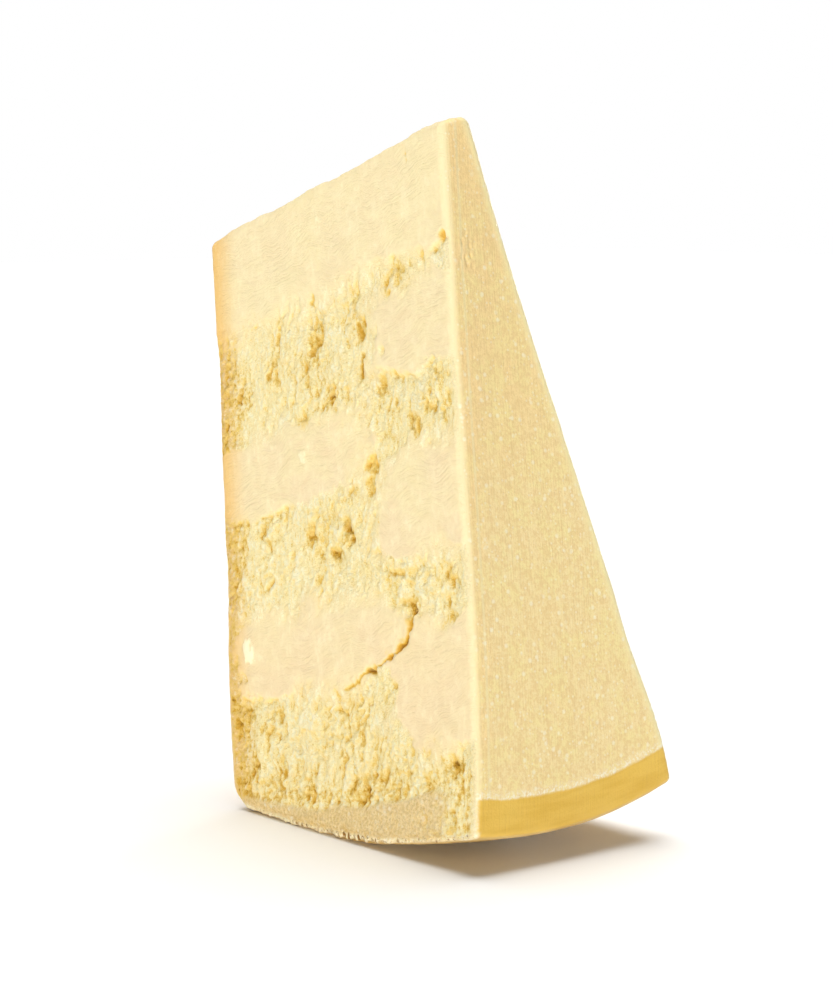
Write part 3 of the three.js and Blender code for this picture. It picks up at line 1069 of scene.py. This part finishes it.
def cut_colour(n):
    """The plain cut face, warmer towards the tip and its near edge, with a pale far edge."""
    warmth = n.plus(n.ramp(n.radius, 150, 60, 0, 0.7), n.times(n.cloud, 0.5))
    warmth = n.plus(warmth, n.ramp(n.across, 8, 3, 0, 0.4))
    colour = n.tinted(CUT_PASTE, CUT_PASTE_WARM, warmth, 0.15, 0.95)
    colour = n.tinted(colour, CUT_YELLOW, n.noise(n.mm, 0.13, 3, 0.6), 0.42, 0.6, 0.6)
    streaks = n.noise(n.stretched(n.place, (0, 1, 0.06)), 0.6, 3)
    blotches = n.noise(n.mm, 0.55, 4, 0.65)
    uneven = n.plus(n.times(n.grain, 0.4), n.times(streaks, 0.12), n.times(blotches, 0.48))
    colour = n.tinted(colour, CUT_DARK, uneven, 0.43, 0.58, 0.7)
    far_half = n.ramp(n.minus(n.across, n.times(n.radius, WEDGE_ANGLE / 2)), 0, 1)
    far_edge = n.times(n.ramp(n.to_broken, *PALE_FAR_EDGE, 0, 0.75), far_half)
    colour = n.mix(far_edge, colour, CUT_EDGE)
    # Painted shade in the holes of the nick.
    return n.tinted(colour, PASTE_DEEP, n.hollow, 0.2, 1.0, 0.7)


def with_edge_highlights(n, colour):
    """Edges between the broken faces and the cut get a painted highlight, a pale band where the
    rounded edge would catch the light, and a fine pale line runs along the near one."""
    edge_highlight = n.plus(n.larger(n.to_cut, n.to_broken), n.ragged)
    # Painted highlight: a pale band along the rounded edge, where it would catch the light.
    colour = n.tinted(colour, PASTE_PALE, edge_highlight, *EDGE_HIGHLIGHT_ZONE, 0.85)
    away = n.math("ABSOLUTE", n.minus(n.across, EDGE_LINE_ACROSS))
    line = n.ramp(away, *EDGE_LINE_WIDTH, 0, 0.5)
    return n.mix(n.times(line, n.cut), colour, PASTE_PALE)


def with_crystals(n, colour):
    """Small pale specks in the clean cut and the firm zone."""
    clear = n.larger(n.cut, n.firm)
    for per_mm, without, strength in CRYSTALS:
        away, own = n.scattered(n.mm, per_mm)
        speck = n.times(n.ramp(away, *CRYSTAL_SIZE), n.ramp(own, without, without + 0.3))
        colour = n.mix(n.times(speck, n.times(clear, strength)), colour, CRYSTAL)
    return colour


def with_golden_zone(n, colour):
    """The golden zone next to the rim, where the cut is clean, with a floury band above it."""
    wobble = n.times(n.centred(n.noise(n.mm, 0.12, 3)), 1.4)
    from_rim = n.plus(n.to_rim, wobble)
    flour = n.times(n.ramp(from_rim, *FLOURY_ZONE), n.ramp(n.grain, 0.45, 0.6, 0, 0.8))
    colour = n.mix(n.times(flour, n.cut), colour, CRYSTAL)
    layers = n.noise(n.stretched(n.place, (1, 0.12, 0.8)), 0.5, 3)
    gold = n.tinted(GOLDEN, GOLDEN_DEEP, layers, 0.35, 0.7)
    clean = n.times(n.cut, n.ramp(n.to_broken, *GOLDEN_FROM_BROKEN))
    return n.mix(n.times(n.ramp(from_rim, *GOLDEN_ZONE), clean), colour, gold)


def with_rind(n, colour):
    """The rind's outer skin, on the rim and on the wheel's flat side."""
    rind = n.tinted(RIND, RIND_PALE, n.noise(n.mm, 0.09, 5, 0.6), 0.35, 0.65)
    rind = n.tinted(rind, RIND_DARK, n.noise(n.mm, 0.7, 4, 0.7), 0.52, 0.8, 0.6)
    skin = n.ramp(n.math("MINIMUM", n.to_rim, n.to_flat), *RIND_SKIN)
    return n.mix(skin, colour, rind)


def with_rim_edge(n, colour):
    """Where the broken faces meet the rim, the edge is floury, with dark specks, and painted shade
    in its notches.
    """
    edge = n.plus(n.larger(n.to_rim, n.to_broken), n.ragged)
    edge = n.times(n.ramp(edge, *FLOURY_RIM_EDGE, 0, 0.85), n.ramp(n.hollow, 0.5, 0.1, 0.2, 1))
    floury = n.tinted(PASTE_PALE, CRYSTAL, n.noise(n.mm, 1.6, 3, 0.7), 0.45, 0.6)
    colour = n.mix(edge, colour, floury)
    specks = n.ramp(n.noise(n.mm, 0.9, 2, 0.6), 0.57, 0.63)
    specks = n.times(specks, n.ramp(n.to_flat, *SPECKS_FROM_FLAT), n.rest_of(n.cut), edge)
    colour = n.mix(specks, colour, PASTE_DARKEST)
    # Painted shade in the notches.
    return n.tinted(colour, PASTE_DARKEST, n.notch, 0.3, 0.7, 0.95)


def fine_relief(n):
    """Fine grain, rougher where the paste is torn, drag lines on the knife marks and faint
    scratches on the cut."""
    grain = n.times(n.centred(n.grain), n.ramp(n.torn, 0, 1, 0.35, 1.9))
    coarse = n.centred(n.noise(n.mm, 0.6, 3, 0.6))

    # Drag lines run along the depth and bend.
    bent = n.plus(n.radius, n.times(n.cloud, 14.0))
    drawn = n.new("CombineXYZ")
    n.put(n.times(n.depth, 0.14), drawn.inputs[0])
    n.put(n.minus(bent, n.times(n.depth, 0.12)), drawn.inputs[1])
    drag = n.centred(n.noise(drawn.outputs[0], 0.9, 4, 0.65))
    smooth = n.times(n.rest_of(n.torn), n.broken)
    drag = n.times(drag, n.times(smooth, n.ramp(n.mottle, 0.4, 0.6, 0.2, 1.0)))

    scratches = n.centred(n.noise(n.stretched(n.place, (0.3, 1.4, 0.08)), 1.2, 3))
    return n.plus(
        grain,
        n.times(n.torn, 1.8, coarse),
        n.times(n.torn, n.crumb),
        n.times(drag, 1.35),
        n.times(n.cut, 0.35, scratches),
    )


def cheese_material():
    """Paste, torn paste, the golden zone under the rind and the rind itself, in one material, as
    they are one body and run into each other."""
    material = bpy.data.materials.new("cheese")
    n = CheeseNodes(material)
    colour = n.mix(n.cut, broken_colour(n), cut_colour(n))
    for layer in (with_edge_highlights, with_crystals, with_golden_zone, with_rind, with_rim_edge):
        colour = layer(n, colour)
    bump = n.new("Bump")
    n.put_all({"Height": fine_relief(n), **CHEESE_BUMP}, bump)
    n.put_all({
        "Base Color": colour,
        "Normal": bump.outputs["Normal"],
        "Roughness": n.ramp(n.mottle, 0.3, 0.7, *CHEESE_ROUGHNESS),
        **CHEESE_SURFACE,
    }, n.shader)
    return material


def floor_material():
    material = bpy.data.materials.new("floor")
    n = Nodes(material)
    shade = n.mix(n.noise(n.here, 3.0, 2), *FLOOR_WHITES)
    n.put_all({"Base Color": shade, **FLOOR_SURFACE}, n.shader)
    return material


# The wedge

def make_wedge():
    cells, quads = block_skin(ROWS)
    full = mesh_of("full_skin", skin_points(cells) * MM, quads)
    piece = bpy.data.objects.new("wedge_surface", full)
    bpy.context.scene.collection.objects.link(piece)
    thin = thinned(piece, TRIANGLES_KEPT)
    piece.modifiers.clear()
    piece.data = thin
    thin.name = "wedge_surface"
    bpy.data.meshes.remove(full)
    keep_inside(thin, cad_box)
    add_attributes(thin)
    thin.shade_smooth()
    thin.materials.append(cheese_material())
    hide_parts("cheese_wedge")
    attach(piece, "root")


# Floor, lights and camera

FLOOR_SIZE = 8.0

# Lights: name, azimuth, elevation, the angle that they are spread over, strength.
LIGHTS = [
    ("key", 142, 79, 58, 3.2),
    ("fill", -57, 3, 7, 2.08),
    ("back", 112, 6, 11, 1.25),
]
LIGHT_COLOUR = (1.0, 0.995, 0.985)
WORLD_LIGHT = 0.08

CAMERA_AZIMUTH = math.radians(-39.46)
CAMERA_ELEVATION = math.radians(7.12)
CAMERA_DISTANCE = 0.7454
# What the camera looks at, from the wheel's centre.
CAMERA_AIM = np.array([0.0, 30.0, -133.3])
# The photo's frame is 1000 pixels high, and the lens sees 2800 of its pixels a radian.
FRAME_HEIGHT = 1000
FOCAL_PIXELS = 2800
SENSOR = 36.0
SHIFT_PIXELS = (54.5, 21.6)


def direction(azimuth, elevation):
    """The way from the object towards an azimuth and elevation. Azimuth 0 is the -Y side."""
    return Vector((
        math.sin(azimuth) * math.cos(elevation),
        -math.cos(azimuth) * math.cos(elevation),
        math.sin(elevation),
    ))


def make_floor():
    half = FLOOR_SIZE / 2
    corners = [(-half, -half, 0), (half, -half, 0), (half, half, 0), (-half, half, 0)]
    mesh = bpy.data.meshes.new("floor")
    mesh.from_pydata(corners, [], [(0, 1, 2, 3)])
    mesh.materials.append(floor_material())
    floor = bpy.data.objects.new("floor", mesh)
    bpy.context.scene.collection.objects.link(floor)


def make_light(name, azimuth, elevation, spread, strength):
    """A large soft light far away, its angles in degrees."""
    light = bpy.data.lights.new(name, "SUN")
    light.angle = math.radians(spread)
    light.energy = strength
    light.color = LIGHT_COLOUR
    lamp = bpy.data.objects.new(name, light)
    towards = direction(math.radians(azimuth), math.radians(elevation))
    lamp.location = towards
    lamp.rotation_mode = "QUATERNION"
    lamp.rotation_quaternion = (-towards).to_track_quat("-Z", "Y")
    bpy.context.scene.collection.objects.link(lamp)


def make_world():
    """A white backdrop that lights the wedge less than it shows."""
    world = bpy.data.worlds.new("studio")
    world.use_nodes = True
    tree = world.node_tree
    background = tree.nodes["Background"]
    background.inputs["Color"].default_value = (1, 1, 1, 1)
    path = tree.nodes.new("ShaderNodeLightPath")
    shown = tree.nodes.new("ShaderNodeMapRange")
    shown.inputs["To Min"].default_value = WORLD_LIGHT
    shown.inputs["To Max"].default_value = 1.0
    tree.links.new(path.outputs["Is Camera Ray"], shown.inputs["Value"])
    tree.links.new(shown.outputs["Result"], background.inputs["Strength"])
    bpy.context.scene.world = world


def make_camera():
    camera = bpy.data.cameras.new("camera")
    camera.sensor_fit = "AUTO"
    camera.sensor_width = SENSOR
    camera.lens = SENSOR * FOCAL_PIXELS / FRAME_HEIGHT
    camera.shift_x = SHIFT_PIXELS[0] / FRAME_HEIGHT
    camera.shift_y = SHIFT_PIXELS[1] / FRAME_HEIGHT
    back = direction(CAMERA_AZIMUTH, CAMERA_ELEVATION)
    holder = bpy.data.objects.new("camera", camera)
    holder.location = Vector((WHEEL_CENTRE + CAMERA_AIM) * MM) + back * CAMERA_DISTANCE
    holder.rotation_mode = "QUATERNION"
    holder.rotation_quaternion = (-back).to_track_quat("-Z", "Y")
    bpy.context.scene.collection.objects.link(holder)
    bpy.context.scene.camera = holder


make_camera()
make_world()
for light in LIGHTS:
    make_light(*light)
make_floor()
make_wedge()
bpy.context.scene.view_settings.view_transform = "Standard"
